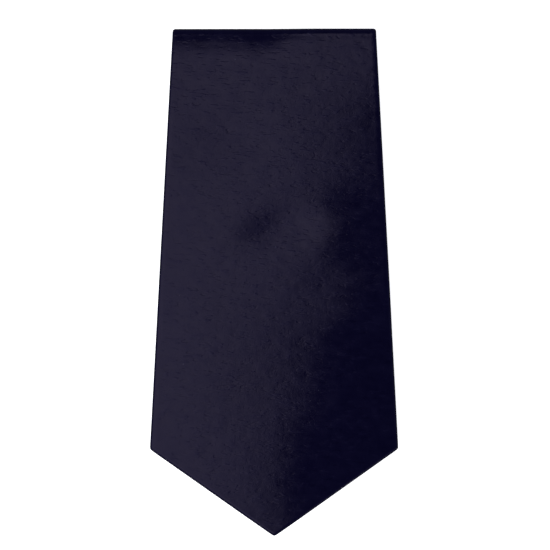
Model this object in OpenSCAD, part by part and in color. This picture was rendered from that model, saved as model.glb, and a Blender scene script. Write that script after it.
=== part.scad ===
// Gentleman's necktie, folded flat as it is packed: nine panels laid zigzag on each other, joined by
// eight creases. The wide front blade lies on top with its face up, and its point is at -Y.
// Origin: bottom centre of the folded pack. X runs across the tie, Y along the panels, Z is up.

/* [Blade] */
// Width of the front blade at its corners
blade_w = 90; // [75:1:100]
// Height of the blade's point, from the corner line to the tip
point_h = 31.6; // [25:0.1:45]
// Width lost for each millimetre of length above the corners
blade_taper = 0.109; // [0.08:0.001:0.12]
// Width of the neck band, the narrowest stretch
neck_w = 34; // [30:1:38]
// Width of the tail at its corners
tail_w = 44; // [38:1:50]
// Width gained for each millimetre of length towards the tail
tail_taper = 0.026; // [0.015:0.001:0.035]

/* [Folded pack] */
// Length of the folded pack, from the tip of the point to the outside of the top crease
pack_len = 183.7; // [175:0.1:195]
// How far the lower creases lie inside the blade's point, measured from the tip
crease_inset = 24.8; // [22:0.1:30]
// Gap between the blade and the panel under it, which the keeper loop and the labels fill
blade_gap = 3.3; // [3.2:0.1:5]
// Gap between the other panels
panel_gap = 0.3; // [0.2:0.05:0.6]
// How far the tail's tip stays inside the top creases
tail_inset = 3.2; // [2:0.1:20]

/* [Cloth] */
// Thickness of the whole tie, pressed
tie_t = 2.1; // [1.9:0.05:2.6]
// Thickness of the shell cloth
cloth_t = 0.4; // [0.3:0.05:0.5]
// Thickness of the tipping, the lining behind each point
tipping_t = 0.2; // [0.15:0.05:0.3]
// Free space around each inner layer
play = 0.05; // [0.03:0.01:0.1]
// Width of the slit where the two edges of the shell meet along the back
slit_w = 0.5; // [0.4:0.1:1]

/* [Shell and lining pieces] */
// Distance along the tie from the front tip to the seam between blade and neck pieces
blade_seam_s = 742; // [720:1:765]
// Distance along the tie from the front tip to the seam between neck and tail pieces
tail_seam_s = 1061; // [1040:1:1080]
// Distance along the tie from the front tip to the join of the two interlinings
interlining_join_s = 902; // [880:1:925]
// Length of tipping behind the front point
front_tipping_len = 122; // [110:1:140]
// Length of tipping behind the tail's point
tail_tipping_len = 70; // [60:1:80]
// Distance from the front tip to the front bar tack, where the back opens
front_tack_s = 107; // [100:1:112]
// Distance from the tail tip to the tail bar tack
tail_tack_s = 56; // [50:1:65]

/* [Keeper and labels] */
// Distance along the tie from the front tip to the middle of the keeper loop
keeper_s = 250; // [240:1:258]
// Clear width inside the keeper loop
keeper_in_w = 47; // [45:1:50]
// Width of the keeper loop's band, along the tie
keeper_band = 10; // [8:0.5:14]
// Clear height under the keeper loop
keeper_h = 2.5; // [2.3:0.1:2.6]
// Distance from the front tip to the middle of the label
label_s = 160; // [156:1:164]
// Width and length of the label
label_size = [40, 20];
// Width and length of the care label
care_size = [13, 18];

/* [Hidden] */
$fn = 48;
PANELS = 9;
FIRST_NECK = 5; // panel that holds the blade to neck seam
LAST_NECK = 7;  // panel that holds the neck to tail seam
JOIN_PANEL = 6; // panel that holds the join of the interlinings
soft = 80;      // length over which a taper fades out
end_play = 0.1; // each panel stops this far short of its crease's axis
edge_r = tie_t * 0.56; // of the rolled long edges
label_t = 0.35;
care_t = 0.3;
band_t = 0.45;
thread_d = 0.3;
tack_size = [7, 1.6];
keeper_pad = 4;    // length of each end of the keeper loop that lies flat on the shell
front_hem = 5;     // distance from the edge of the point to the edge of the tipping that shows
tail_hem = 4;
stitches = 6;      // down each side of the label
stitch_size = [0.4, 1.6];
stitch_in = 1.2;   // distance of the label's stitches from its edge
far = 400;      // longer than any cut
overrun = 45;   // a panel's outline runs this far past its creases before it is cut off

// Where the creases and points lie
y_tip = -pack_len / 2;
y_corner = y_tip + point_h;
y_top = pack_len / 2 - blade_gap / 2 - tie_t;  // axis of the creases at +Y
y_low = y_tip + crease_inset;                  // axis of the creases at -Y
tail_point_h = point_h * tail_w / blade_w;
run = y_top - y_low;                           // flat length of a middle panel
function gap_below(k) = k == 1 ? blade_gap : panel_gap;
function bend_len(k) = PI * (gap_below(k) + tie_t) / 2;
function panel_len(k) = k == 1 ? y_top - y_tip : k == PANELS ? run - tail_inset : run;
function sum_to(v, n) = n < 0 ? 0 : v[n] + sum_to(v, n - 1);
panel_starts = [for (k = [1:PANELS])
    sum_to([for (j = [1:PANELS]) panel_len(j) + bend_len(j)], k - 2)];
function start_s(k) = panel_starts[k - 1];
tie_len = start_s(PANELS) + panel_len(PANELS);
function base_z(k) = k == 1 ? base_z(2) + tie_t + blade_gap : (PANELS - k) * (tie_t + panel_gap);
function crease_y(k) = k % 2 == 1 ? y_top : y_low;
function crease_z(k) = base_z(k) - gap_below(k) / 2;

// Width of the tie at distance s from the front tip: the neck's width plus a ramp at each end
function ramp(d) = soft * ln(1 + exp(d / soft));
blade_ramp_s = point_h + (blade_w - neck_w) / blade_taper;
tail_ramp_s = tie_len - tail_point_h - (tail_w - neck_w) / tail_taper;
function tie_w(s) = neck_w + blade_taper * ramp(blade_ramp_s - s) + tail_taper * ramp(s - tail_ramp_s);

// A panel in its own frame: x across, y along the tie from the panel's start.
// Its long edges are straight from first_t to last_t, and run on past them in the same line.
function first_t(k) = k == 1 ? point_h : 0;
function last_t(k) = k == PANELS ? panel_len(k) - tail_point_h : panel_len(k);
function edge_x(k, t) =
    let (a = tie_w(start_s(k) + first_t(k)) / 2, b = tie_w(start_s(k) + last_t(k)) / 2)
    a + (b - a) * (t - first_t(k)) / (last_t(k) - first_t(k));
function edge_point(k, t, side) = [side * edge_x(k, t), t];
function strip(k) = [edge_point(k, -overrun, -1), edge_point(k, -overrun, 1),
    edge_point(k, panel_len(k) + overrun, 1), edge_point(k, panel_len(k) + overrun, -1)];
function outline(k) = let (v = strip(k))
    k == 1 ? [[0, 0], edge_point(k, first_t(k), 1), v[2], v[3], edge_point(k, first_t(k), -1)]
    : k == PANELS ? [v[0], v[1], edge_point(k, last_t(k), 1), [0, panel_len(k)],
                     edge_point(k, last_t(k), -1)]
    : v;

// A convex outline, drawn anticlockwise, moved inwards by d
function unit(v) = v / norm(v);
function cross2(a, b) = a[0] * b[1] - a[1] * b[0];
function inset_point(before, at, after, d) =
    let (a = unit(at - before), b = unit(after - at),
         pa = at + d * [-a[1], a[0]], pb = at + d * [-b[1], b[0]])
    pa + a * cross2(pb - pa, b) / cross2(a, b);
function inset(v, d) = [for (i = [0:len(v) - 1])
    inset_point(v[(i + len(v) - 1) % len(v)], v[i], v[(i + 1) % len(v)], d)];

// Puts a panel's own frame in its place. The back of the tie is at height 0 in that frame.
module lay(k) {
    if (k % 2 == 1) translate([0, k == 1 ? y_tip : y_low, base_z(k)]) children();
    else translate([0, y_top, base_z(k) + tie_t]) rotate([180, 0, 0]) children();
}

// The stretch of a panel between its creases
module between_creases(k) {
    low = k == 1 ? -far : end_play;
    high = k == PANELS ? far : panel_len(k) - end_play;
    intersection() {
        children();
        translate([-far, low, -far]) cube([2 * far, high - low, 2 * far]);
    }
}

// A slab of a panel's outline, inset all round, from height low to height high
module slab(k, d, low, high) {
    translate([0, 0, low]) linear_extrude(high - low) polygon(inset(outline(k), d));
}

// A full-thickness strip whose long edges are rolled round
module rolled_strip(k) {
    core = inset(strip(k), edge_r);
    intersection() {
        union() {
            translate([0, 0, -1]) linear_extrude(tie_t + 2) polygon(core);
            for (i = [1, 3]) {
                a = core[i];
                b = core[(i + 1) % 4];
                translate([a[0], a[1], tie_t / 2]) rotate([0, 0, atan2(b[1] - a[1], b[0] - a[0])])
                    rotate([0, 90, 0]) rotate([0, 0, 30]) cylinder(h = norm(b - a), r = edge_r);
            }
        }
        translate([-far, -far, 0]) cube([2 * far, 2 * far, tie_t]);
    }
}

// The same strip, cut to its point on the two panels that have one
module rolled_panel(k) {
    slope = point_h / (blade_w / 2);
    if (k > 1 && k < PANELS) rolled_strip(k);
    else intersection() {
        rolled_strip(k);
        translate([0, k == 1 ? 0 : panel_len(k), -1]) rotate([0, 0, k == 1 ? 0 : 180])
            linear_extrude(tie_t + 2)
                polygon([[0, 0], [blade_w, blade_w * slope], [blade_w, far], [-blade_w, far],
                         [-blade_w, blade_w * slope]]);
    }
}

// The opening between the two edges of the shell, below a bar tack, that shows the tipping.
// Drawn with the tip at the origin and the tie running up.
module back_opening(half_w, tack_s, hem) {
    slope = point_h / (blade_w / 2);
    reach = half_w * 0.45;
    low = hem * norm([1, slope]);
    top = tack_s + tack_size[1] * 0.3;
    polygon([[0, low], [reach, low + reach * slope], [slit_w / 2, top], [-slit_w / 2, top],
             [-reach, low + reach * slope]]);
}

module tack_pocket(s) {
    translate([-tack_size[0] / 2, s, -1]) cube([tack_size[0], tack_size[1], 1 + cloth_t]);
}

// The shell cloth of one panel: a flat sleeve, open at its creases, slit along the back
module shell_sleeve(k) {
    between_creases(k) difference() {
        rolled_panel(k);
        slab(k, cloth_t + play, cloth_t, tie_t - cloth_t);
        slit_start = k == 1 ? front_tack_s + tack_size[1] * 0.7 : -1;
        slit_end = k == PANELS ? panel_len(k) - tail_tack_s - tack_size[1] * 0.7 : far;
        translate([-slit_w / 2, slit_start, -1]) cube([slit_w, slit_end - slit_start, 1 + cloth_t]);
        if (k == 1) {
            translate([0, 0, -1]) linear_extrude(1 + cloth_t)
                back_opening(blade_w / 2, front_tack_s, front_hem);
            tack_pocket(front_tack_s);
        }
        if (k == PANELS) {
            translate([0, panel_len(k), -1]) rotate([0, 0, 180]) linear_extrude(1 + cloth_t)
                back_opening(tail_w / 2, tail_tack_s, tail_hem);
            tack_pocket(panel_len(k) - tail_tack_s - tack_size[1]);
        }
    }
}

// Everything on one side of a bias seam across panel k at distance s: side -1 is towards the blade
module bias_side(k, s, side) {
    translate([0, s - start_s(k), 0]) rotate([0, 0, 45])
        translate([-far, side > 0 ? 0 : -far, -far]) cube([2 * far, far, 2 * far]);
}

// The thread of a bias seam, under the face of the shell
module seam_thread(k, s) {
    translate([0, s - start_s(k), tie_t - cloth_t / 2]) rotate([0, 0, 45]) rotate([0, 90, 0])
        cylinder(h = neck_w * 1.3, d = thread_d, center = true, $fn = 24);
}

module seamed_shell(k, s, side) {
    difference() {
        intersection() {
            shell_sleeve(k);
            bias_side(k, s, side);
        }
        seam_thread(k, s);
    }
}

module front_blade_shell(k) {
    color([0.055, 0.05, 0.095]) lay(k)
        if (k == FIRST_NECK) seamed_shell(k, blade_seam_s, -1);
        else shell_sleeve(k);
}

module neck_shell(k) {
    color([0.06, 0.055, 0.1]) lay(k)
        if (k == FIRST_NECK) seamed_shell(k, blade_seam_s, 1);
        else if (k == LAST_NECK) seamed_shell(k, tail_seam_s, -1);
        else shell_sleeve(k);
}

module tail_shell(k) {
    color([0.055, 0.05, 0.095]) lay(k)
        if (k == LAST_NECK) seamed_shell(k, tail_seam_s, 1);
        else shell_sleeve(k);
}

module bias_seam(k, s) {
    color([0.04, 0.04, 0.08]) lay(k) intersection() {
        seam_thread(k, s);
        slab(k, edge_r, 0, tie_t);
    }
}

// The interlining of one panel, between distances from_s and to_s along the tie
module interlining(k, from_s = -far, to_s = 2000) {
    color([0.85, 0.83, 0.78]) lay(k) between_creases(k) difference() {
        intersection() {
            slab(k, cloth_t + 2 * play, cloth_t + play, tie_t - cloth_t - play);
            translate([-far, from_s - start_s(k), -far]) cube([2 * far, to_s - from_s, 2 * far]);
        }
        tipping_h = cloth_t + tipping_t + 2 * play;
        low = k == 1 ? -far : panel_len(k) - tail_tipping_len - 1;
        if (k == 1 || k == PANELS) translate([-far, low, -far])
            cube([2 * far, k == 1 ? far + front_tipping_len + 1 : far, far + tipping_h]);
    }
}

module tipping(k, low, high) {
    color([0.07, 0.07, 0.13]) lay(k) intersection() {
        slab(k, cloth_t + 2 * play, cloth_t + play, cloth_t + play + tipping_t);
        translate([-far, low, -far]) cube([2 * far, high - low, 2 * far]);
    }
}

// Half a ring round crease k's axis, on the crease's side of the stack, with a width across the tie
module half_ring(k, inner_r, outer_r, w) {
    side = k % 2 == 1 ? 1 : -1;
    translate([0, crease_y(k), crease_z(k)]) intersection() {
        rotate([0, 90, 0]) difference() {
            cylinder(h = w, r = outer_r, center = true);
            cylinder(h = w + 2, r = inner_r, center = true);
        }
        translate([-far, side > 0 ? -end_play : end_play - far, -far]) cube([2 * far, far, 2 * far]);
    }
}

function crease_w(k) = tie_w(start_s(k) + panel_len(k));

// The shell cloth round a crease. Its slit lies on the inside of a +Y crease, on the outside of a -Y one.
module crease_shell(k) {
    r = gap_below(k) / 2;
    slit_r = k % 2 == 1 ? r - 0.1 : r + tie_t - cloth_t;
    color([0.055, 0.05, 0.095]) difference() {
        half_ring(k, r, r + tie_t, crease_w(k));
        half_ring(k, r + cloth_t, r + tie_t - cloth_t, crease_w(k) - 2 * (cloth_t + play));
        half_ring(k, slit_r, slit_r + cloth_t + 0.1, slit_w);
    }
}

module crease_interlining(k) {
    r = gap_below(k) / 2;
    color([0.85, 0.83, 0.78])
        half_ring(k, r + cloth_t + play, r + tie_t - cloth_t - play, crease_w(k) - 2 * (cloth_t + 2 * play));
}

// The slip stitch: the thread that lies in the slit along the back
module slip_stitch(k) {
    low = k == 1 ? front_tack_s + tack_size[1] : end_play;
    high = k == PANELS ? panel_len(k) - tail_tack_s - tack_size[1] : panel_len(k) - end_play;
    color([0.03, 0.03, 0.07]) lay(k) translate([0, low, cloth_t / 2]) rotate([-90, 0, 0])
        cylinder(h = high - low, d = thread_d, $fn = 24);
}

module bar_tack(k, s) {
    color([0.03, 0.03, 0.07]) lay(k) translate([-tack_size[0] / 2, s, 0])
        cube([tack_size[0], tack_size[1], cloth_t]);
}

// The keeper loop: a band across the back that holds the tail, flat on the shell at both ends
module keeper_profile() {
    half = keeper_in_w / 2;
    polygon([[-half - band_t - keeper_pad, 0], [-half, 0], [-half, keeper_h], [half, keeper_h], [half, 0],
             [half + band_t + keeper_pad, 0], [half + band_t + keeper_pad, band_t], [half + band_t, band_t],
             [half + band_t, keeper_h + band_t], [-half - band_t, keeper_h + band_t],
             [-half - band_t, band_t], [-half - band_t - keeper_pad, band_t]]);
}

module keeper_stitch_bars() {
    x = keeper_in_w / 2 + band_t + keeper_pad / 2;
    for (side = [-1, 1]) translate([side * x - tack_size[1] / 4, -keeper_band * 0.4, -band_t - 0.1])
        cube([tack_size[1] / 2, keeper_band * 0.8, band_t + 0.1]);
}

module keeper_loop() {
    color([0.055, 0.05, 0.095]) lay(2) translate([0, keeper_s - start_s(2), 0]) difference() {
        translate([0, keeper_band / 2, 0]) rotate([90, 0, 0]) mirror([0, 1, 0])
            linear_extrude(keeper_band) keeper_profile();
        keeper_stitch_bars();
    }
}

module keeper_tacks() {
    color([0.03, 0.03, 0.07]) lay(2) translate([0, keeper_s - start_s(2), 0]) keeper_stitch_bars();
}

// The label, a blank woven patch, and the care label that is caught under its edge
module label_stitch_bars() {
    pitch = (label_size[1] - 2 * stitch_in - stitch_size[1]) / (stitches - 1);
    for (side = [-1, 1], i = [0:stitches - 1])
        translate([side * (label_size[0] / 2 - stitch_in) - stitch_size[0] / 2,
                   label_s - label_size[1] / 2 + stitch_in + i * pitch, -label_t - 0.1])
            cube([stitch_size[0], stitch_size[1], label_t]);
}

module label() {
    color([0.1, 0.1, 0.14]) lay(1) difference() {
        translate([-label_size[0] / 2, label_s - label_size[1] / 2, -label_t])
            cube([label_size[0], label_size[1], label_t]);
        label_stitch_bars();
    }
}

module label_stitches() {
    color([0.5, 0.5, 0.55]) lay(1) label_stitch_bars();
}

module care_label() {
    color([0.92, 0.92, 0.92]) lay(1)
        translate([-care_size[0] / 2, label_s - label_size[1] / 2 - care_size[1], -care_t])
            cube([care_size[0], care_size[1], care_t]);
}

// The names of the pieces that repeat along the tie, numbered by panel or crease
function numbered(prefix, low, high) = [for (k = [low:high]) str(prefix, k)];
NODES = concat(
    numbered("front_blade_shell_", 1, FIRST_NECK), numbered("neck_shell_", FIRST_NECK, LAST_NECK),
    numbered("tail_shell_", LAST_NECK, PANELS),
    numbered("front_interlining_", 1, JOIN_PANEL), numbered("tail_interlining_", JOIN_PANEL, PANELS),
    numbered("crease_shell_", 1, PANELS - 1), numbered("crease_interlining_", 1, PANELS - 1),
    numbered("slip_stitch_", 1, PANELS),
    ["front_tipping", "tail_tipping", "front_bar_tack", "tail_bar_tack", "blade_neck_seam",
     "neck_tail_seam", "keeper_loop", "keeper_tacks", "label", "label_stitches", "care_label"]);
node = "all";

function drawn(name) = node == "all" || node == name;
for (k = [1:FIRST_NECK]) if (drawn(str("front_blade_shell_", k))) front_blade_shell(k);
for (k = [FIRST_NECK:LAST_NECK]) if (drawn(str("neck_shell_", k))) neck_shell(k);
for (k = [LAST_NECK:PANELS]) if (drawn(str("tail_shell_", k))) tail_shell(k);
for (k = [1:JOIN_PANEL]) if (drawn(str("front_interlining_", k)))
    interlining(k, to_s = k == JOIN_PANEL ? interlining_join_s - play : 2000);
for (k = [JOIN_PANEL:PANELS]) if (drawn(str("tail_interlining_", k)))
    interlining(k, from_s = k == JOIN_PANEL ? interlining_join_s + play : -far);
for (k = [1:PANELS - 1]) if (drawn(str("crease_shell_", k))) crease_shell(k);
for (k = [1:PANELS - 1]) if (drawn(str("crease_interlining_", k))) crease_interlining(k);
for (k = [1:PANELS]) if (drawn(str("slip_stitch_", k))) slip_stitch(k);
if (drawn("front_tipping")) tipping(1, -far, front_tipping_len);
if (drawn("tail_tipping")) tipping(PANELS, panel_len(PANELS) - tail_tipping_len, far);
if (drawn("front_bar_tack")) bar_tack(1, front_tack_s);
if (drawn("tail_bar_tack")) bar_tack(PANELS, panel_len(PANELS) - tail_tack_s - tack_size[1]);
if (drawn("blade_neck_seam")) bias_seam(FIRST_NECK, blade_seam_s);
if (drawn("neck_tail_seam")) bias_seam(LAST_NECK, tail_seam_s);
if (drawn("keeper_loop")) keeper_loop();
if (drawn("keeper_tacks")) keeper_tacks();
if (drawn("label")) label();
if (drawn("label_stitches")) label_stitches();
if (drawn("care_label")) care_label();
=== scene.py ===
import math

import bmesh
import bpy
import numpy as np
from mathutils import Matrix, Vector


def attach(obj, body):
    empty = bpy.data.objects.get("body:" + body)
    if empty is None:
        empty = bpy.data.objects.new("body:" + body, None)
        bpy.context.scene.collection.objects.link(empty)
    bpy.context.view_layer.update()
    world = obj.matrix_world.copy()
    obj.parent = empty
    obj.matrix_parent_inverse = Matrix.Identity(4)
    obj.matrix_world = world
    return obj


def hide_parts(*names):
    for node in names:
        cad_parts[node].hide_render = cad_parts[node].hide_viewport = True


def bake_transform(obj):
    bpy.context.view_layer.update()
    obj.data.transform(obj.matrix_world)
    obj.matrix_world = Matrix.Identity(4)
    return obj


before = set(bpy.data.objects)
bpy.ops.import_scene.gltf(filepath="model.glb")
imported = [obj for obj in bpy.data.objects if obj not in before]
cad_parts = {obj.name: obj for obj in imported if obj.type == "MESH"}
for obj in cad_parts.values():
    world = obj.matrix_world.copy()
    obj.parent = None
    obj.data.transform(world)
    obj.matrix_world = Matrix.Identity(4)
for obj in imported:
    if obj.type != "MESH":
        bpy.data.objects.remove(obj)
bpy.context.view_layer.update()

# ---------------------------------------------------------------- the tie's sizes, in mm, as in the CAD
BLADE_W, POINT_H, BLADE_TAPER = 90.0, 31.6, 0.109
NECK_W, TAIL_W, TAIL_TAPER = 34.0, 44.0, 0.026
PACK_LEN, CREASE_INSET, BLADE_GAP, PANEL_GAP, TAIL_INSET = 183.7, 24.8, 3.3, 0.3, 3.2
THICK, CLOTH = 2.1, 0.4
BLADE_SEAM, TAIL_SEAM = 742.0, 1061.0
FRONT_TIPPING, TAIL_TIPPING, FRONT_TACK, TAIL_TACK = 122.0, 70.0, 107.0, 56.0
FRONT_HEM, TAIL_HEM = 5.0, 4.0
KEEPER_S, KEEPER_IN, KEEPER_BAND, KEEPER_H = 250.0, 47.0, 10.0, 2.5
LABEL_S, LABEL, CARE = 160.0, (40.0, 20.0), (13.0, 18.0)
INTERLINING_JOIN, JOIN_GAP = 902.0, 0.3
PANELS, SOFT = 9, 80.0  # SOFT is the length over which a taper fades out
SLOPE = POINT_H / (BLADE_W / 2)

# sizes that only the looks have: heights of the inner layers above the tie's back, the two back flaps' ends
# across the tie, the radii of the threads (in metres), and mm of cloth to one unit of its coordinates
FELT_LOW, FELT_LIFT, FELT_HIGH = 0.92, 0.25, 1.64
TIPPING_LOW, TIPPING_HIGH = 0.72, 0.88
UNDER_LAP, OVER_LAP = 3.0, -0.7
SLIP_R, TACK_R, SEAM_R, KEEPER_R, LABEL_R = 0.00014, 0.00019, 0.00013, 0.00016, 0.00015
CLOTH_UNIT = 100

Y_TIP = -PACK_LEN / 2
Y_TOP = PACK_LEN / 2 - BLADE_GAP / 2 - THICK
Y_LOW = Y_TIP + CREASE_INSET
RUN = Y_TOP - Y_LOW


def gap_below(k):
    return BLADE_GAP if k == 1 else PANEL_GAP


def bend_len(k):
    return math.pi * (gap_below(k) + THICK) / 2


def panel_len(k):
    return Y_TOP - Y_TIP if k == 1 else RUN - TAIL_INSET if k == PANELS else RUN


def start_s(k):
    return sum(panel_len(j) + bend_len(j) for j in range(1, k))


def end_s(k):
    return start_s(k) + panel_len(k)


def base_z(k):
    return base_z(2) + THICK + BLADE_GAP if k == 1 else (PANELS - k) * (THICK + PANEL_GAP)


TIE_LEN = end_s(PANELS)
BLADE_RAMP = POINT_H + (BLADE_W - NECK_W) / BLADE_TAPER
TAIL_RAMP = TIE_LEN - POINT_H * TAIL_W / BLADE_W - (TAIL_W - NECK_W) / TAIL_TAPER


def smooth(t):
    t = np.clip(t, 0, 1)
    return t * t * (3 - 2 * t)


def width(s):
    def ramp(d):
        return SOFT * np.log1p(np.exp(d / SOFT))
    return NECK_W + BLADE_TAPER * ramp(BLADE_RAMP - s) + TAIL_TAPER * ramp(s - TAIL_RAMP)


TIP_R = 0.35  # how far the rounded tip stops short of the sharp one
THINNEST = 0.02  # half the width that is left at the very tip


def half_width(s):
    """Half the tie's outline at distance s from the front tip, with its two rounded points."""
    s = np.asarray(s, float)
    out = width(s) / 2
    for d in (s, TIE_LEN - s):
        point = np.sqrt(np.maximum(d * d - TIP_R**2, 0)) / SLOPE
        out = -TIP_R * np.logaddexp(-out / TIP_R, -point / TIP_R)  # the smaller of the two, blended
    return np.maximum(out, THINNEST)


# ---------------------------------------------------------------- where a point of the tie lies at rest
def along(y, *knots):
    """A smooth curve through knots (y, value), in mm from the middle of the pack."""
    ys, vs = np.array(knots, float).T
    i = np.clip(np.searchsorted(ys, y) - 1, 0, len(ys) - 2)
    return vs[i] + (vs[i + 1] - vs[i]) * smooth((y - ys[i]) / (ys[i + 1] - ys[i]))


def fall(x, y, at, reach, depth, lean=0.0, back=25.0):
    """A soft step down towards the right, local along the tie, that rises again over back mm."""
    across = x - at[0] - lean * (y - at[1])
    return depth * (0.5 + 0.5 * np.tanh(across / reach[0])) * np.exp(-(((y - at[1]) / reach[1]) ** 2)) \
        * (1 - smooth((across - reach[0]) / back))


PUFF = 1.6  # how far the middle of the top panel stands off its flat place


def crown(x, y):
    """How far the top panel stands off its flat place: a soft camber, a drooping right side whose top edge
    wanders, a few dimples, and a roll-over at the top that starts earlier on the left."""
    low = smooth((15 - y) / 40)
    camber = (0.034 * x + 0.00055 * x * x) * low
    tilt = 0.009 * x * (1 - low) * (1 - 1.9 * smooth((y - 50) / 36))
    left = 0.017 * 3 * np.logaddexp(0, (-15 - x) / 3) * np.exp(-(((y - 12) / 22) ** 2))
    z = PUFF - camber - tilt - left
    edge = along(y, (-95, 10), (-72, 6), (-58, 9), (-42, 18), (-29, 20.5), (-20, 20.5), (-10, 30), (0, 28),
                 (10, 19), (20, 21), (30, 17.5), (45, 29), (62, 32), (72, 38), (84, 54), (95, 60))
    steep = along(y, (-95, 0.12), (-30, 0.11), (-10, 0.10), (8, 0.085), (20, 0.095), (28, 0.085),
                  (36, 0.05), (95, 0.045))
    soft = along(y, (-95, 3), (-60, 3.3), (-42, 5), (-28, 4.8), (-20, 2.5), (-8, 2.2), (2, 5), (10, 3),
                 (20, 2), (30, 2.5), (40, 6), (95, 6))
    z = z - steep * soft * np.logaddexp(0, (x - edge) / soft)
    z = z - fall(x, y, (-6.5, 20.5), (6.8, 7.0), 0.78, lean=0.65, back=30)
    z = z - fall(x, y, (13, 1), (5, 5), 0.20, back=20)
    z = z - fall(x, y, (-26, 53), (8, 10), 0.25)
    roll = 0.115 * 1.6 * np.logaddexp(0, (y - 83.4) / 1.6) * smooth((16 - x) / 22)
    notch = 0.03 * 1.5 * np.logaddexp(0, (y - 83) / 1.5) * np.exp(-(((x + 4) / 5) ** 2))
    return z - roll - notch


TUCKED_CREASE, TUCK = 3, 2.9  # this fold lies further in, so that the blade can turn right over


def place(s, u, h):
    """Row-frame points in metres, from distances along (s) and across (u) the tie and heights (h) above its
    back, all in mm."""
    s, u, h = np.broadcast_arrays(*(np.asarray(v, float) for v in (s, u, h)))
    x, y, z = u.copy(), np.zeros_like(s), np.zeros_like(s)
    bow = np.zeros_like(s)
    for k in range(1, PANELS + 1):
        a, b = start_s(k), end_s(k)
        here = ((s >= a) if k > 1 else True) & ((s <= b) if k < PANELS else True)
        t = s - a
        if k % 2:
            y = np.where(here, (Y_TIP if k == 1 else Y_LOW) + t, y)
            z = np.where(here, base_z(k) + h, z)
        else:
            y = np.where(here, Y_TOP - t, y)
            z = np.where(here, base_z(k) + THICK - h, z)
        if k == PANELS:
            break
        c = start_s(k + 1)
        here = (s > b) & (s < c)
        angle = np.pi * (s - b) / (c - b)
        rho = gap_below(k) / 2 + (h if k % 2 else THICK - h)
        if k == 1:  # the front fold is squarer than a half round
            rho = rho + (1.02 + 0.18 * smooth((x + 2) / 20)) * np.sin(2 * angle) ** 4
        axis_y, side = (Y_TOP, 1) if k % 2 else (Y_LOW, -1)
        axis_z = base_z(k) - gap_below(k) / 2
        y = np.where(here, axis_y + side * rho * np.sin(angle), y)
        z = np.where(here, axis_z + rho * np.cos(angle), z)
        # each crease is pulled in a little at its two ends
        near = smooth(1 - np.abs(s - (b + c) / 2) / 22)
        pull = 0.0 if k == 1 else 0.35 + 0.25 * math.sin(3.1 * k)
        tuck = TUCK if k == TUCKED_CREASE else 0.0
        bow = bow - side * near * (tuck + pull * (2 * np.abs(u) / width(s)) ** 4)
    # the top panel puffs, and the whole stack is a little wavy, more so towards its top
    z = z + smooth(1 - (s - end_s(1)) / bend_len(1)) * crown(x, y)
    wave = 0.5 * np.sin(y / 31 + 0.7) + 0.1 * np.sin(x / 19 + y / 47)
    z = z + wave * np.clip(z, 0, 25) / 25
    x = x + 0.55 * np.sin(s / 83 + 0.4) * smooth((s - 190) / 60)
    return np.stack([x, y + bow, z], axis=-1) / 1000


# ---------------------------------------------------------------- meshes
def build(name, verts, faces, uvs, material, sharp=50):
    """A piece, from points in metres. Edges sharper than sharp degrees stay crisp."""
    mesh = bpy.data.meshes.new(name)
    mesh.from_pydata([tuple(v) for v in verts], [], [tuple(f) for f in faces])
    cloth = mesh.uv_layers.new(name="cloth")
    index = np.zeros(len(mesh.loops), np.int32)
    mesh.loops.foreach_get("vertex_index", index)
    cloth.data.foreach_set("uv", np.asarray(uvs, np.float32)[index].ravel())
    bm = bmesh.new()
    bm.from_mesh(mesh)
    bmesh.ops.recalc_face_normals(bm, faces=bm.faces)
    bm.to_mesh(mesh)
    bm.free()
    mesh.shade_smooth()
    mesh.set_sharp_from_angle(angle=math.radians(sharp))
    obj = bpy.data.objects.new(name, mesh)
    bpy.context.scene.collection.objects.link(obj)
    mesh.materials.append(material)
    return obj


def loft(outer, inner, outer_uv, inner_uv, rims=None):
    """A closed skin of two sheets (rows, columns, 3) joined round all their edges. rims are the points
    between the sheets at the first and last column, for a rounded edge."""
    rows, cols = outer.shape[:2]
    if rims is None:
        loop = np.concatenate([outer, inner[:, ::-1]], axis=1)
        uv = np.concatenate([outer_uv, inner_uv[:, ::-1]], axis=1)
    else:
        first, last = rims
        loop = np.concatenate([outer, last[:, None], inner[:, ::-1], first[:, None]], axis=1)
        uv = np.concatenate([outer_uv, outer_uv[:, -1:], inner_uv[:, ::-1], outer_uv[:, :1]], axis=1)
    m = loop.shape[1]
    r = np.arange(rows - 1)[:, None] * m
    c = np.arange(m)[None]
    n = (c + 1) % m
    faces = np.stack([r + c, r + n, r + m + n, r + m + c], axis=-1).reshape(-1, 4).tolist()
    rim = 0 if rims is None else 1
    for row in (0, rows - 1):
        b = row * m
        for i in range(cols - 1):
            faces.append([b + i, b + i + 1, b + m - i - 2 - rim, b + m - i - 1 - rim])
        if rims is not None:
            faces.append([b, b + m - 2, b + m - 1])
            faces.append([b + cols - 1, b + cols, b + cols + 1])
    return loop.reshape(-1, 3), faces, uv.reshape(-1, 2)


def bend_over(obj, k):
    """obj crosses crease k, whose axis is worked out but not used: its placement is baked into its mesh."""
    axis = (0, (Y_TOP if k % 2 else Y_LOW) / 1000, (base_z(k) - gap_below(k) / 2) / 1000)
    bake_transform(obj)


def stations(low, high, step, crease, extra=()):
    """Distances along the tie from low to high, closer together round a crease."""
    cuts = set(np.round(np.linspace(low, high, max(2, int((high - low) / step) + 1)), 4))
    if crease:
        b, c = end_s(crease), start_s(crease + 1)
        cuts = {v for v in cuts if not b - 0.6 < v < c + 0.6}
        cuts |= set(np.round(np.linspace(b, c, 17), 4)) | {round(b - 1.2, 4), round(c + 1.2, 4)}
    cuts |= {v for v in extra if low <= v <= high}
    return np.unique(np.round(list(cuts | {low, high}), 4))


# ---------------------------------------------------------------- materials
BLACK, GREY, WHITE = (0, 0, 0), (0.5, 0.5, 0.5), (1, 1, 1)


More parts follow.
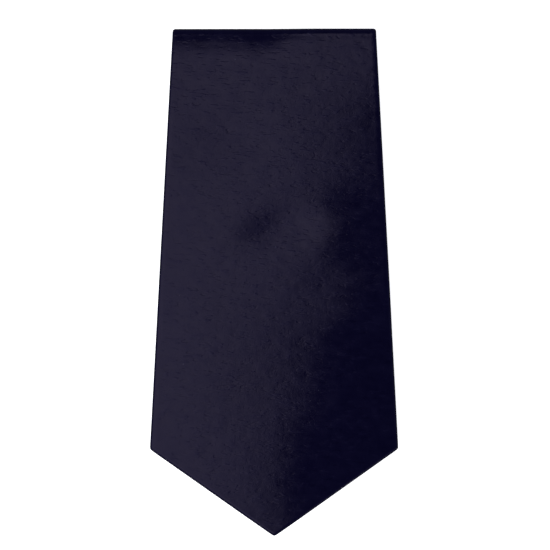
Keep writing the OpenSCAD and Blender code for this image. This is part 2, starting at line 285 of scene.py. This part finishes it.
def nodes_of(name):
    m = bpy.data.materials.new(name)
    m.use_nodes = True
    nt = m.node_tree
    nt.nodes.clear()
    out = nt.nodes.new("ShaderNodeOutputMaterial")
    bsdf = nt.nodes.new("ShaderNodeBsdfPrincipled")
    nt.links.new(bsdf.outputs[0], out.inputs[0])
    return m, nt, bsdf


def cloth_uv(nt, angle, size, shift=(0, 0, 0)):
    """Cloth coordinates turned by angle degrees; one unit is size = (across, along) mm."""
    tc = nt.nodes.new("ShaderNodeTexCoord")
    turn = nt.nodes.new("ShaderNodeMapping")
    turn.inputs["Rotation"].default_value = (0, 0, math.radians(angle))
    nt.links.new(tc.outputs["UV"], turn.inputs["Vector"])
    scale = nt.nodes.new("ShaderNodeMapping")
    scale.inputs["Location"].default_value = shift
    scale.inputs["Scale"].default_value = (CLOTH_UNIT / size[0], CLOTH_UNIT / size[1], 1)
    nt.links.new(turn.outputs[0], scale.inputs["Vector"])
    return scale.outputs[0]


def texture(nt, kind, vector, **values):
    n = nt.nodes.new(kind)
    for key, v in values.items():
        if key in n.inputs:
            n.inputs[key].default_value = v
        else:
            setattr(n, key, v)
    nt.links.new(vector, n.inputs["Vector"])
    return n


def ramp(nt, value, stops):
    n = nt.nodes.new("ShaderNodeValToRGB")
    e = n.color_ramp.elements
    while len(e) < len(stops):
        e.new(0.5)
    for el, (pos, col) in zip(e, stops):
        el.position = pos
        el.color = (*col, 1)
    nt.links.new(value, n.inputs[0])
    return n.outputs[0]


def math_node(nt, op, a, b):
    n = nt.nodes.new("ShaderNodeMath")
    n.operation = op
    for i, v in enumerate((a, b)):
        if isinstance(v, (int, float)):
            n.inputs[i].default_value = v
        else:
            nt.links.new(v, n.inputs[i])
    return n.outputs[0]


def mix_colour(nt, share, under, over):
    """The colour node under, with the plain colour over laid on it where share is 1."""
    n = nt.nodes.new("ShaderNodeMix")
    n.data_type = "RGBA"
    nt.links.new(share, n.inputs[0])
    nt.links.new(under, n.inputs[6])
    n.inputs[7].default_value = (*over, 1)
    return n.outputs[2]


def bump(nt, height, distance, after=None):
    n = nt.nodes.new("ShaderNodeBump")
    n.inputs["Distance"].default_value = distance
    n.inputs["Strength"].default_value = 1.0
    nt.links.new(height, n.inputs["Height"])
    if after is not None:
        nt.links.new(after, n.inputs["Normal"])
    return n.outputs[0]


def satin(name, dark, light):
    """Silk satin cut on the bias: fine floats, a soft mottle, small slubs both ways, and specks of lint."""
    m, nt, bsdf = nodes_of(name)

    def noise(angle, size, detail, shift=(0, 0, 0)):
        return texture(nt, "ShaderNodeTexNoise", cloth_uv(nt, angle, size, shift), Scale=1.0, Detail=detail,
                       Roughness=0.55).outputs["Fac"]

    floats = texture(nt, "ShaderNodeTexVoronoi", cloth_uv(nt, 45, (0.24, 1.3)), Scale=1.0, Randomness=0.8)
    mottle = noise(10, (5.0, 3.6), 1.0)
    cloud = noise(20, (26, 34), 2.0)
    # most of the noise is flattened to grey, so that only sparse low and high slubs are left
    sparse = [(0.30, BLACK), (0.37, GREY), (0.62, GREY), (0.69, WHITE)]
    across = ramp(nt, noise(2, (4.0, 1.3), 1.0, (5, 2, 0)), sparse)
    down = ramp(nt, noise(-3, (0.95, 3.0), 1.0, (1, 8, 0)), sparse)
    slub = math_node(nt, "ADD", math_node(nt, "MULTIPLY", across, 0.65),
                     math_node(nt, "MULTIPLY", down, 0.35))
    tone = math_node(nt, "ADD", math_node(nt, "MULTIPLY", math_node(nt, "ADD", mottle, cloud), 0.3),
                     math_node(nt, "MULTIPLY", slub, 0.4))
    colour = ramp(nt, tone, [(0.38, dark), (0.62, light)])
    specks = texture(nt, "ShaderNodeTexVoronoi", cloth_uv(nt, 12, (4.2, 5.0)), Scale=1.0, Randomness=1.0)
    near = math_node(nt, "LESS_THAN", specks.outputs["Distance"], 0.04)
    chosen = math_node(nt, "GREATER_THAN", noise(0, (9, 9), 0.0, (3, 9, 0)), 0.58)
    lint = math_node(nt, "MULTIPLY", near, chosen)
    nt.links.new(mix_colour(nt, lint, colour, (0.035, 0.035, 0.06)), bsdf.inputs["Base Color"])
    uneven = math_node(nt, "ADD", math_node(nt, "MULTIPLY", slub, 0.12),
                       math_node(nt, "MULTIPLY", mottle, 0.20))
    nt.links.new(math_node(nt, "ADD", uneven, 0.05), bsdf.inputs["Roughness"])
    bsdf.inputs["Specular IOR Level"].default_value = 0.114
    bsdf.inputs["Specular Tint"].default_value = (0.75, 0.66, 1.0, 1)
    bsdf.inputs["Sheen Weight"].default_value = 0.01
    bsdf.inputs["Sheen Roughness"].default_value = 0.4
    bsdf.inputs["Sheen Tint"].default_value = (0.5, 0.5, 1.0, 1)
    fine = bump(nt, floats.outputs["Distance"], 0.000008)
    wavy = bump(nt, cloud, 0.00012, after=fine)
    soft = bump(nt, mottle, 0.00006, after=wavy)
    picks = bump(nt, across, 0.000047, after=soft)
    nt.links.new(bump(nt, down, 0.00001, after=picks), bsdf.inputs["Normal"])
    return m


WAVE_UNIT = 3.1831  # a wave texture of scale 1 has this many bands to the unit, 10 / pi


def woven(name, dark, light, pitch, rough, depth, angle=45, spec=0.2, sheen=0.1):
    """A plain or twill cloth: bands of yarn across fine bands of the other yarn, with uneven tone."""
    m, nt, bsdf = nodes_of(name)
    unit = pitch * WAVE_UNIT
    one = texture(nt, "ShaderNodeTexWave", cloth_uv(nt, angle, (unit, unit)), Scale=1.0, Distortion=0.6,
                  wave_type="BANDS", bands_direction="X")
    two = texture(nt, "ShaderNodeTexWave", cloth_uv(nt, angle, (unit, unit)), Scale=0.7, Distortion=0.6,
                  wave_type="BANDS", bands_direction="Y")
    noise = texture(nt, "ShaderNodeTexNoise", cloth_uv(nt, angle, (1.4, 5.0)), Scale=1.0, Detail=3.0)
    weave = math_node(nt, "MULTIPLY", one.outputs["Fac"], math_node(nt, "ADD", 0.5, math_node(
        nt, "MULTIPLY", two.outputs["Fac"], 0.5)))
    tone = math_node(nt, "ADD", math_node(nt, "MULTIPLY", weave, 0.45), math_node(
        nt, "MULTIPLY", noise.outputs["Fac"], 0.55))
    nt.links.new(ramp(nt, tone, [(0.2, dark), (0.75, light)]), bsdf.inputs["Base Color"])
    nt.links.new(math_node(nt, "ADD", rough - 0.06, math_node(nt, "MULTIPLY", noise.outputs["Fac"], 0.12)),
                 bsdf.inputs["Roughness"])
    bsdf.inputs["Specular IOR Level"].default_value = spec
    bsdf.inputs["Sheen Weight"].default_value = sheen
    nt.links.new(bump(nt, weave, depth), bsdf.inputs["Normal"])
    return m


def felt(name, dark, light):
    """Pressed felt: fine crossing hairs over soft clumps."""
    m, nt, bsdf = nodes_of(name)
    hairs = texture(nt, "ShaderNodeTexNoise", cloth_uv(nt, 30, (0.5, 2.4)), Scale=1.0, Detail=4.0,
                    Distortion=1.2)
    clumps = texture(nt, "ShaderNodeTexNoise", cloth_uv(nt, 0, (5, 6)), Scale=1.0, Detail=3.0)
    tone = math_node(nt, "ADD", math_node(nt, "MULTIPLY", hairs.outputs["Fac"], 0.6),
                     math_node(nt, "MULTIPLY", clumps.outputs["Fac"], 0.4))
    nt.links.new(ramp(nt, tone, [(0.3, dark), (0.7, light)]), bsdf.inputs["Base Color"])
    bsdf.inputs["Roughness"].default_value = 0.95
    bsdf.inputs["Sheen Weight"].default_value = 0.4
    nt.links.new(bump(nt, hairs.outputs["Fac"], 0.0001), bsdf.inputs["Normal"])
    return m


def thread(name, dark, light):
    """Twisted thread: its mesh's first cloth coordinate runs round it and the second along it."""
    m, nt, bsdf = nodes_of(name)
    twist = texture(nt, "ShaderNodeTexWave", cloth_uv(nt, 35, (1.1, 1.1)), Scale=1.0, Distortion=0.3,
                    wave_type="BANDS", bands_direction="Y")
    noise = texture(nt, "ShaderNodeTexNoise", cloth_uv(nt, 0, (0.5, 2.0)), Scale=1.0, Detail=2.0)
    tone = math_node(nt, "ADD", math_node(nt, "MULTIPLY", twist.outputs["Fac"], 0.6),
                     math_node(nt, "MULTIPLY", noise.outputs["Fac"], 0.4))
    nt.links.new(ramp(nt, tone, [(0.2, dark), (0.8, light)]), bsdf.inputs["Base Color"])
    bsdf.inputs["Roughness"].default_value = 0.5
    bsdf.inputs["Specular IOR Level"].default_value = 0.4
    nt.links.new(bump(nt, twist.outputs["Fac"], 0.00003), bsdf.inputs["Normal"])
    return m


SATIN = satin("navy_satin", (0.0023, 0.0019, 0.0122), (0.0033, 0.0029, 0.0163))
NECK_SATIN = satin("navy_satin_neck", (0.0025, 0.0021, 0.0127), (0.0035, 0.0031, 0.0170))
INTERLINING = felt("wool_interlining", (0.55, 0.52, 0.45), (0.80, 0.77, 0.70))
TIPPING = woven("tipping_lining", (0.004, 0.004, 0.016), (0.010, 0.010, 0.034), 0.35, 0.42, 0.00002,
                spec=0.10, sheen=0.02)
THREAD = thread("navy_thread", (0.004, 0.004, 0.012), (0.014, 0.013, 0.032))
LABEL_CLOTH = woven("label_weave", (0.010, 0.010, 0.018), (0.028, 0.027, 0.045), 0.30, 0.5, 0.00004,
                    angle=0, spec=0.12, sheen=0.02)
LABEL_THREAD = thread("label_thread", (0.16, 0.16, 0.19), (0.34, 0.34, 0.38))
CARE_TAPE = woven("care_tape", (0.34, 0.34, 0.335), (0.46, 0.46, 0.455), 0.28, 0.6, 0.00004, angle=0)


# ---------------------------------------------------------------- the shell: a folded sleeve of satin
def free_edges(s):
    """Where the two back flaps end, across the tie: the lower flap runs on under the upper one."""
    under, over = np.full_like(s, UNDER_LAP), np.full_like(s, OVER_LAP)
    ends = ((s, FRONT_TACK, FRONT_HEM, BLADE_W / 2), (TIE_LEN - s, TAIL_TACK, TAIL_HEM, TAIL_W / 2))
    for d, tack, hem, half in ends:
        low = hem * math.hypot(1, SLOPE)
        reach = half * 0.45
        top = low + reach * SLOPE
        # the flaps' edges curve a little as they come together at the tack
        share = np.clip((d - top) / (tack - top), 0, 1)
        e = np.where(d < low, 0.01, np.where(d < top, (d - low) / SLOPE,
                     reach * (1 - share) * (1 + 0.22 * np.sin(np.pi * share)) + 0.15))
        e = np.minimum(e, 0.86 * half_width(s))
        shut = smooth((d - tack + 1) / 6)
        under = np.where(d < tack + 6, np.minimum(under, -e + (UNDER_LAP + e) * shut), under)
        over = np.where(d < tack + 6, np.maximum(over, e + (OVER_LAP - e) * shut), over)
    return under, over


# rows of points close to a tip, and where the hem, the flaps' edges and the point end, as distances from it
NEAR_TIP = np.array([0.03, 0.09, 0.2, 0.4, 0.7, 1.1, 1.6, 2.2, 3.0, 4.0])
FRONT_ROWS = np.array([5.8, 6.1, 6.5, 20.3, 30.6, 31.1, 31.5, 31.9, 32.4])
TAIL_ROWS = np.array([4.6, 4.9, 5.3, 11.8, 14.6, 15.1, 15.5, 15.9, 16.4])


def shell(name, k, low, high, replaces, material, skew_low=False, skew_high=False, step=2.5, cols=(15, 25)):
    """The satin from low to high round crease k, with both back flaps. A skewed end follows a slanting seam,
    and cols are the numbers of points across each flap and across the front."""
    nb, nf = cols
    extra = []
    if low == 0:
        low = TIP_R + 0.004
        extra = [*(TIP_R + NEAR_TIP), TIP_R + 5.0, *FRONT_ROWS]
    if high == TIE_LEN:
        high = TIE_LEN - TIP_R - 0.004
        extra = [*(TIE_LEN - TIP_R - NEAR_TIP), *(TIE_LEN - TAIL_ROWS)]
    ends = [0.12, 0.3, 0.55, 0.9, 1.4]
    if skew_low:
        extra += [low + e for e in ends]
    if skew_high:
        extra += [high - e for e in ends]
    s = stations(low, high, step, k, extra)
    rows = len(s)
    w = half_width(s)
    r = THICK / 2
    # round the point the rolled edge is cut at a slant, so its section is drawn longer
    lean = math.hypot(1, SLOPE) / SLOPE
    slant = 1 + (lean - 1) * (smooth((POINT_H + 1 - s) / 2) + smooth(
        (s - TIE_LEN + POINT_H * TAIL_W / BLADE_W + 1) / 2))
    a = np.minimum(r * slant, 0.98 * w)
    d_tip = np.minimum(s, TIE_LEN - s) - TIP_R
    nose = np.sqrt(np.clip(1 - (1 - np.clip(d_tip / 1.3, 0, 1)) ** 2, 0.003, 1))
    under, over = free_edges(s)
    t = np.linspace(0, 1, nb) ** 2
    flat = (w - a)[:, None]
    left = under[:, None] + (-flat - under[:, None]) * t
    right = (over[:, None] + (flat - over[:, None]) * t)[:, ::-1]
    phi = np.radians(np.linspace(-90, 90, 11)[1:-1])
    front = flat * np.linspace(-1, 1, nf)
    step_up = 0.43 * smooth((left + 1.9) / 1.2)  # the upper flap lies over the lower one

    def hem(edge_gap):  # the cloth turned under along each flap's edge
        return 0.28 * smooth((8.5 - edge_gap) / 1.5)

    u_out = np.concatenate([left, -flat - a[:, None] * np.cos(phi), front,
                            flat + a[:, None] * np.cos(phi[::-1]), right], axis=1)
    one = np.ones((rows, 1))
    h_out = np.concatenate([step_up, one * (r + r * np.sin(phi)), one * np.full(nf, 2 * r),
                            one * (r + r * np.sin(phi[::-1])), np.zeros_like(right)], axis=1)
    a_in = np.maximum(a - CLOTH * slant, 0.25 * a)[:, None]
    u_in = np.concatenate([left, -flat - a_in * np.cos(phi), front,
                           flat + a_in * np.cos(phi[::-1]), right], axis=1)
    ri = r - CLOTH
    h_in = np.concatenate([step_up + CLOTH + hem(np.abs(left - under[:, None])),
                           one * (r + ri * np.sin(phi)), one * np.full(nf, 2 * r - CLOTH),
                           one * (r + ri * np.sin(phi[::-1])),
                           CLOTH + hem(np.abs(right - over[:, None]))], axis=1)
    pinch = np.zeros(rows)
    for on, end in ((skew_low, low), (skew_high, high)):
        if on:
            pinch += 0.3 * np.clip(1 - np.abs(s - end) / 1.5, 0, 1) ** 2.2
    h_out = r + (h_out - r) * nose[:, None] * (1 - pinch[:, None] / r)
    h_in = r + (h_in - r) * nose[:, None]
    steps = np.hypot(np.diff(u_out, axis=1), np.diff(h_out, axis=1))
    path = np.concatenate([np.zeros((rows, 1)), np.cumsum(steps, axis=1)], axis=1)
    middle = nb + len(phi) + nf // 2
    p = path - path[:, middle:middle + 1]
    skew = np.zeros(rows)
    if skew_low:
        skew += smooth((end_s(k) - 6 - s) / (end_s(k) - 6 - low))
    if skew_high:
        skew += smooth((s - start_s(k + 1) - 6) / (high - start_s(k + 1) - 6))
    s_at = s[:, None] + skew[:, None] * p
    outer, inner = place(s_at, u_out, h_out), place(s_at, u_in, h_in)
    first = place(s_at[:, 0], u_out[:, 0] + 0.16, (h_out[:, 0] + h_in[:, 0]) / 2)
    last = place(s_at[:, -1], u_out[:, -1] - 0.16, (h_out[:, -1] + h_in[:, -1]) / 2)
    uv = np.stack([p, s_at], axis=-1) / CLOTH_UNIT
    verts, faces, uvs = loft(outer, inner, uv, uv + 0.013, (first, last))
    obj = build(name, verts, faces, uvs, material)
    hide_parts(*replaces)
    bend_over(obj, k)


def middle_of(k):
    return (start_s(k) + end_s(k)) / 2


shell("front_blade_shell_1_2", 1, 0, middle_of(2),
      ["front_blade_shell_1", "front_blade_shell_2", "crease_shell_1"], SATIN, step=1.3, cols=(19, 67))
for k in (2, 3):
    shell(f"front_blade_shell_{k}_{k + 1}", k, middle_of(k), middle_of(k + 1),
          [f"front_blade_shell_{k}", f"front_blade_shell_{k + 1}", f"crease_shell_{k}"], SATIN)
shell("front_blade_shell_4_5", 4, middle_of(4), BLADE_SEAM,
      ["front_blade_shell_4", "front_blade_shell_5", "crease_shell_4"], SATIN, skew_high=True)
shell("neck_shell_5_6", 5, BLADE_SEAM, middle_of(6), ["neck_shell_5", "neck_shell_6", "crease_shell_5"],
      NECK_SATIN, skew_low=True)
shell("neck_shell_6_7", 6, middle_of(6), TAIL_SEAM, ["neck_shell_6", "neck_shell_7", "crease_shell_6"],
      NECK_SATIN, skew_high=True)
shell("tail_shell_7_8", 7, TAIL_SEAM, middle_of(8), ["tail_shell_7", "tail_shell_8", "crease_shell_7"],
      SATIN, skew_low=True)
shell("tail_shell_8_9", 8, middle_of(8), TIE_LEN, ["tail_shell_8", "tail_shell_9", "crease_shell_8"],
      SATIN, cols=(15, 31))


# ---------------------------------------------------------------- inner layers
def layer(name, k, low, high, inset, heights, material, replaces, step=4.0, cols=13,
          body=None, extra=(), lift=0.0):
    """A thin sheet along the tie from low to high, inset from its edges, between two heights above its back.
    Its underside rises by lift over the lapped flaps in the middle."""
    s = stations(low, high, step, k, extra)
    half = np.maximum(half_width(s) - inset, 0.3)
    u = half[:, None] * np.linspace(-1, 1, cols)
    s_at = np.repeat(s[:, None], cols, axis=1)
    lo = place(s_at, u, heights[0] + lift * smooth((4.5 - np.abs(u)) / 2))
    hi = place(s_at, u, heights[1])
    uv = np.stack([u, s_at], axis=-1) / CLOTH_UNIT
    verts, faces, uvs = loft(hi, lo, uv, uv + 0.007)
    obj = build(name, verts, faces, uvs, material)
    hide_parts(*replaces)
    if body:
        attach(obj, body)
    else:
        bend_over(obj, k)


for k in range(1, PANELS):
    low = 2.5 if k == 1 else middle_of(k)
    high = TIE_LEN - 2.5 if k == PANELS - 1 else middle_of(k + 1)
    if k == 5:
        high = INTERLINING_JOIN - JOIN_GAP
    if k == 6:
        low = INTERLINING_JOIN + JOIN_GAP
    prefix = "front_interlining" if k < 6 else "tail_interlining"
    layer(f"{prefix}_{k}_{k + 1}", k, low, high, 1.0, (FELT_LOW, FELT_HIGH), INTERLINING,
          [f"{prefix}_{k}", f"{prefix}_{k + 1}", f"crease_interlining_{k}"], lift=FELT_LIFT)

layer("front_tipping_cloth", None, 2.2, FRONT_TIPPING, 1.2, (TIPPING_LOW, TIPPING_HIGH), TIPPING,
      ["front_tipping"], step=1.5, cols=45, body="panel_1", extra=(31.6,))
layer("tail_tipping_cloth", None, TIE_LEN - TAIL_TIPPING, TIE_LEN - 2.2, 1.2, (TIPPING_LOW, TIPPING_HIGH),
      TIPPING, ["tail_tipping"], step=1.5, cols=25, body="panel_9",
      extra=(TIE_LEN - 15.45,))


# ---------------------------------------------------------------- threads
def tube(points, radius, sides):
    """Points, faces and cloth coordinates of a round thread along points (n, 3), in metres, closed at both
    ends."""
    pts = np.asarray(points, float)
    n = len(pts)
    tangent = np.gradient(pts, axis=0)
    tangent /= np.linalg.norm(tangent, axis=1)[:, None] + 1e-12
    ref = np.array([0.1, 0.2, 1.0])
    if abs(np.dot(tangent[0], ref / np.linalg.norm(ref))) > 0.85:
        ref = np.array([1.0, 0.2, 0.1])
    side = np.cross(tangent, ref)
    side /= np.linalg.norm(side, axis=1)[:, None]
    up = np.cross(side, tangent)
    ang = np.linspace(0, 2 * np.pi, sides, endpoint=False)
    rad = np.full(n, radius)
    rad[0] = rad[-1] = radius * 0.55
    ring = pts[:, None] + rad[:, None, None] * (
        np.cos(ang)[None, :, None] * side[:, None] + np.sin(ang)[None, :, None] * up[:, None])
    run = np.concatenate([[0], np.cumsum(np.linalg.norm(np.diff(pts, axis=0), axis=1))])
    uv = np.stack(np.broadcast_arrays((ang * radius)[None], run[:, None]), axis=-1) * 1000 / CLOTH_UNIT
    c, nx = np.arange(sides), (np.arange(sides) + 1) % sides
    r = np.arange(n - 1)[:, None] * sides
    faces = np.stack([r + c, r + nx, r + sides + nx, r + sides + c], axis=-1).reshape(-1, 4).tolist()
    faces.append(list(range(sides))[::-1])
    faces.append([(n - 1) * sides + i for i in range(sides)])
    return ring.reshape(-1, 3), faces, uv.reshape(-1, 2)


def threads(name, runs, radius, material, sides=8):
    """One piece made of several threads, one along each array of points in runs."""
    verts, faces, uvs, base = [], [], [], 0
    for pts in runs:
        v, f, t = tube(pts, radius, sides)
        verts.append(v)
        uvs.append(t)
        faces += [[i + base for i in face] for face in f]
        base += len(v)
    return build(name, np.concatenate(verts), faces, np.concatenate(uvs), material, sharp=70)


SLIP_SIDES, STITCH = 6, 9.0  # sides of the slip stitch's thread, and mm from one stitch to the next

for k in range(1, PANELS):
    low = FRONT_TACK + 2 if k == 1 else middle_of(k)
    high = TIE_LEN - TAIL_TACK - 2 if k == PANELS - 1 else middle_of(k + 1)
    s = stations(low, high, 0.8, k)
    # a long slack running stitch that shows as short bights over the edge of the upper flap
    turn = s * 2 * np.pi / STITCH
    u = OVER_LAP - 0.05 - 0.45 * np.cos(turn)
    # where the tie rests on the table its thread is pressed in
    h = 0.16 - 0.22 * np.sin(turn) + 0.22 * smooth((s - end_s(PANELS - 1)) / 2)
    obj = threads(f"slip_stitch_{k}_{k + 1}", [place(s, u, h)], SLIP_R, THREAD, SLIP_SIDES)
    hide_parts(f"slip_stitch_{k}", f"slip_stitch_{k + 1}")
    bend_over(obj, k)


def bar_tack(name, s0, body, node, sink):
    """A dense bar of wrapped thread across the meeting edges, with a core under it."""
    runs = []
    for i in range(22):
        u = -3.4 + 6.8 * i / 21
        t = np.linspace(0, 1, 9)
        s = s0 + 0.8 + (t - 0.5) * (1.5 + 0.15 * math.sin(5.3 * i))
        h = sink + 0.12 - 0.30 * np.sin(np.pi * t) ** 0.6
        runs.append(place(s, u + 0.12 * (t - 0.5), h))
    t = np.linspace(-1, 1, 25)
    runs.append(place(s0 + 0.8, 3.6 * t, sink + 0.08 - 0.05 * np.cos(t * np.pi / 2)))
    obj = threads(name, runs, TACK_R, THREAD)
    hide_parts(node)
    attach(obj, body)


bar_tack("front_bar_tack_thread", FRONT_TACK, "panel_1", "front_bar_tack", 0.0)
bar_tack("tail_bar_tack_thread", TIE_LEN - TAIL_TACK - 1.6, "panel_9", "tail_bar_tack", 0.4)


def bias_seam(name, s0, body):
    """The stitches at the bottom of a slanting seam, over the face and both back flaps."""
    runs = []
    w = float(half_width(np.array([s0]))[0])
    reach = 2 * w - 1.5
    p = -reach
    while p < reach:
        q = np.linspace(p, p + 1.9, 7)
        edge = w - THICK / 2
        u = np.clip(q, -edge, edge)
        u = np.where(q > w + 0.6, 2 * w - q, np.where(q < -w - 0.6, -2 * w - q, u))
        if abs(q[3]) < edge - 1 or abs(q[3]) > w + 2.5:
            front = abs(q[3]) < w
            lift = 0.04 * np.sin(np.linspace(0, np.pi, 7))
            h = (THICK - 0.28 + lift) if front else (0.28 - lift)
            if front or abs(u).min() > 4:
                runs.append(place(s0 + q, u, h))
        p += 2.4
    obj = threads(name + "_thread", runs, SEAM_R, THREAD)
    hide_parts(name)
    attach(obj, body)


bias_seam("blade_neck_seam", BLADE_SEAM, "panel_5")
bias_seam("neck_tail_seam", TAIL_SEAM, "panel_7")


# ---------------------------------------------------------------- keeper loop and labels
def keeper_height(u):
    """Height of the band's underside over the shell: flat at both ends, arched between them."""
    return 0.02 + (KEEPER_H - 0.1) * smooth((KEEPER_IN / 2 + 1.2 - np.abs(u)) / 6.5) ** 0.8


def keeper():
    """The band of satin across the back, with rounded edges, and the stitches that hold its two ends."""
    ends = KEEPER_IN / 2 + 4.4
    u = np.unique(np.concatenate([np.linspace(-ends, ends, 61), [-ends + 0.15, ends - 0.15]]))
    band = KEEPER_BAND / 2
    n = 13
    v = np.sin(np.linspace(-np.pi / 2, np.pi / 2, n))
    edge = np.sqrt(np.clip(1 - np.abs(v) ** 8, 0.006, 1))
    half = band * (1 - 0.03 * np.cos(u / 6)[:, None])
    s = KEEPER_S + half * v
    t = 0.5  # the band's thickness
    low = keeper_height(u)[:, None] + t / 2 - (t / 2) * edge
    high = keeper_height(u)[:, None] + t / 2 + (t / 2) * edge
    uu = np.repeat(u[:, None], n, axis=1)
    # heights here stand out of the tie's back
    outer, inner = place(s, uu, -high), place(s, uu, -low)
    uv = np.stack([uu / CLOTH_UNIT + 0.3, s / CLOTH_UNIT], axis=-1)
    verts, faces, uvs = loft(outer, inner, uv, uv + 0.01)
    obj = build("keeper_band", verts, faces, uvs, SATIN)
    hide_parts("keeper_loop")
    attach(obj, "panel_2")
    runs = []
    for side in (-1, 1):
        x = side * (KEEPER_IN / 2 + 2.5)
        for i in range(9):
            s0 = KEEPER_S - 3.8 + i * 7.6 / 8
            q = np.linspace(0, 1, 7)
            runs.append(place(s0 + 0.35 * q, x + (q - 0.5) * 1.5, -0.30 - 0.36 * np.sin(np.pi * q) ** 0.6))
    tacks = threads("keeper_tack_threads", runs, KEEPER_R, THREAD)
    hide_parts("keeper_tacks")
    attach(tacks, "panel_2")


keeper()


def patch(name, s_mid, size, thick, material, node, curl=0.0):
    """A small woven piece on the back, with a rounded rim; curl lifts its free end."""
    n, m = 25, 17
    a = np.sin(np.linspace(-np.pi / 2, np.pi / 2, n))
    b = np.sin(np.linspace(-np.pi / 2, np.pi / 2, m))
    rim = np.sqrt(np.clip((1 - np.abs(a) ** 14)[:, None] * (1 - np.abs(b) ** 14)[None], 0.006, 1))
    s = np.repeat((s_mid + a * size[1] / 2)[:, None], m, axis=1)
    u = np.repeat((b * size[0] / 2)[None], n, axis=0)
    lift = 0.03 + curl * smooth((s_mid - s) / size[1] + 0.2) ** 2 * (1 + 0.3 * np.cos(u / 3))
    ripple = 0.03 * np.sin(u / 2.1 + 0.6) * np.sin(s / 2.9)
    mid = lift + thick / 2 + ripple
    outer = place(s, u, -(mid + rim * thick / 2))
    inner = place(s, u, -(mid - rim * thick / 2))
    uv = np.stack([u, s], axis=-1) / CLOTH_UNIT
    verts, faces, uvs = loft(outer, inner, uv, uv + 0.01)
    obj = build(name, verts, faces, uvs, material)
    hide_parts(node)
    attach(obj, "panel_1")


patch("label_patch", LABEL_S, LABEL, 0.3, LABEL_CLOTH, "label")
patch("care_tape_loop", LABEL_S - LABEL[1] / 2 - CARE[1] / 2 + 0.4, (CARE[0], CARE[1] + 0.8), 0.22,
      CARE_TAPE, "care_label", curl=0.5)
runs = []
for side in (-1, 1):
    for i in range(7):
        s0 = LABEL_S - LABEL[1] / 2 + 1.4 + i * (LABEL[1] - 4.4) / 6
        q = np.linspace(0, 1, 7)
        lift = -0.16 - 0.26 * np.sin(np.pi * q) ** 0.5
        runs.append(place(s0 + 1.6 * q, side * (LABEL[0] / 2 - 1.2), lift))
stitches = threads("label_stitch_threads", runs, LABEL_R, LABEL_THREAD)
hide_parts("label_stitches")
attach(stitches, "panel_1")


# ---------------------------------------------------------------- floor, light and camera
def floor():
    mesh = bpy.data.meshes.new("floor")
    r, z = 15.0, -0.0001  # half its side, and just under the tie, in metres
    mesh.from_pydata([(-r, -r, z), (r, -r, z), (r, r, z), (-r, r, z)], [], [(0, 1, 2, 3)])
    obj = bpy.data.objects.new("floor", mesh)
    bpy.context.scene.collection.objects.link(obj)
    m, nt, bsdf = nodes_of("white_floor")
    bsdf.inputs["Base Color"].default_value = (0.86, 0.86, 0.86, 1)
    bsdf.inputs["Roughness"].default_value = 0.9
    bsdf.inputs["Specular IOR Level"].default_value = 0.1
    bsdf.inputs["Emission Color"].default_value = (1, 1, 1, 1)
    bsdf.inputs["Emission Strength"].default_value = 0.9
    mesh.materials.append(m)
    obj.visible_glossy = False  # the satin mirrors the dim studio below the horizon instead


floor()


def softbox(name, at, aim, size, power):
    data = bpy.data.lights.new(name, "AREA")
    data.shape = "RECTANGLE"
    data.size, data.size_y = size
    data.energy = power
    obj = bpy.data.objects.new(name, data)
    bpy.context.scene.collection.objects.link(obj)
    obj.location = at
    obj.rotation_euler = (Vector(aim) - Vector(at)).to_track_quat("-Z", "Y").to_euler()
    obj.visible_camera = False


softbox("key_softbox", (-0.78, -0.45, 1.5), (-0.78, -0.45, 0), (1.75, 1.8), 30)
softbox("side_fill", (1.9, -1.3, 0.8), (0, 0, 0), (1.2, 1.0), 4)

world = bpy.data.worlds.new("studio")
bpy.context.scene.world = world
world.use_nodes = True
wt = world.node_tree
wt.nodes.clear()
out = wt.nodes.new("ShaderNodeOutputWorld")
back = wt.nodes.new("ShaderNodeBackground")
tc = wt.nodes.new("ShaderNodeTexCoord")
sep = wt.nodes.new("ShaderNodeSeparateXYZ")
wt.links.new(tc.outputs["Generated"], sep.inputs[0])
height = math_node(wt, "ADD", math_node(wt, "MULTIPLY", sep.outputs[2], 0.5), 0.5)
# dim below the horizon, a pale band along it, bluish walls, and dark overhead where the camera is
dim, pale, blue = (0.15, 0.15, 0.15), (0.65, 0.65, 0.65), (0.15, 0.16, 0.25)
sky = [(0.0, dim), (0.485, dim), (0.49, pale), (0.53, pale), (0.56, (0.22, 0.24, 0.36)), (0.70, blue),
       (0.88, blue), (0.955, (0.004, 0.004, 0.007))]
wt.links.new(ramp(wt, height, sky), back.inputs[0])
back.inputs[1].default_value = 1.0
wt.links.new(back.outputs[0], out.inputs[0])

camera = bpy.data.cameras.new("camera")
camera_obj = bpy.data.objects.new("camera", camera)
bpy.context.scene.collection.objects.link(camera_obj)
bpy.context.scene.camera = camera_obj
DISTANCE, FRAME_W = 2.0, 0.1989
camera.lens = camera.sensor_width * DISTANCE / FRAME_W
camera_obj.location = (0.00025, 0.0028, 0.0243 + DISTANCE)  # straight above the top panel
camera_obj.rotation_euler = (0, 0, 0)
camera.clip_start, camera.clip_end = 0.05, 60
bpy.context.scene.view_settings.view_transform = "Standard"
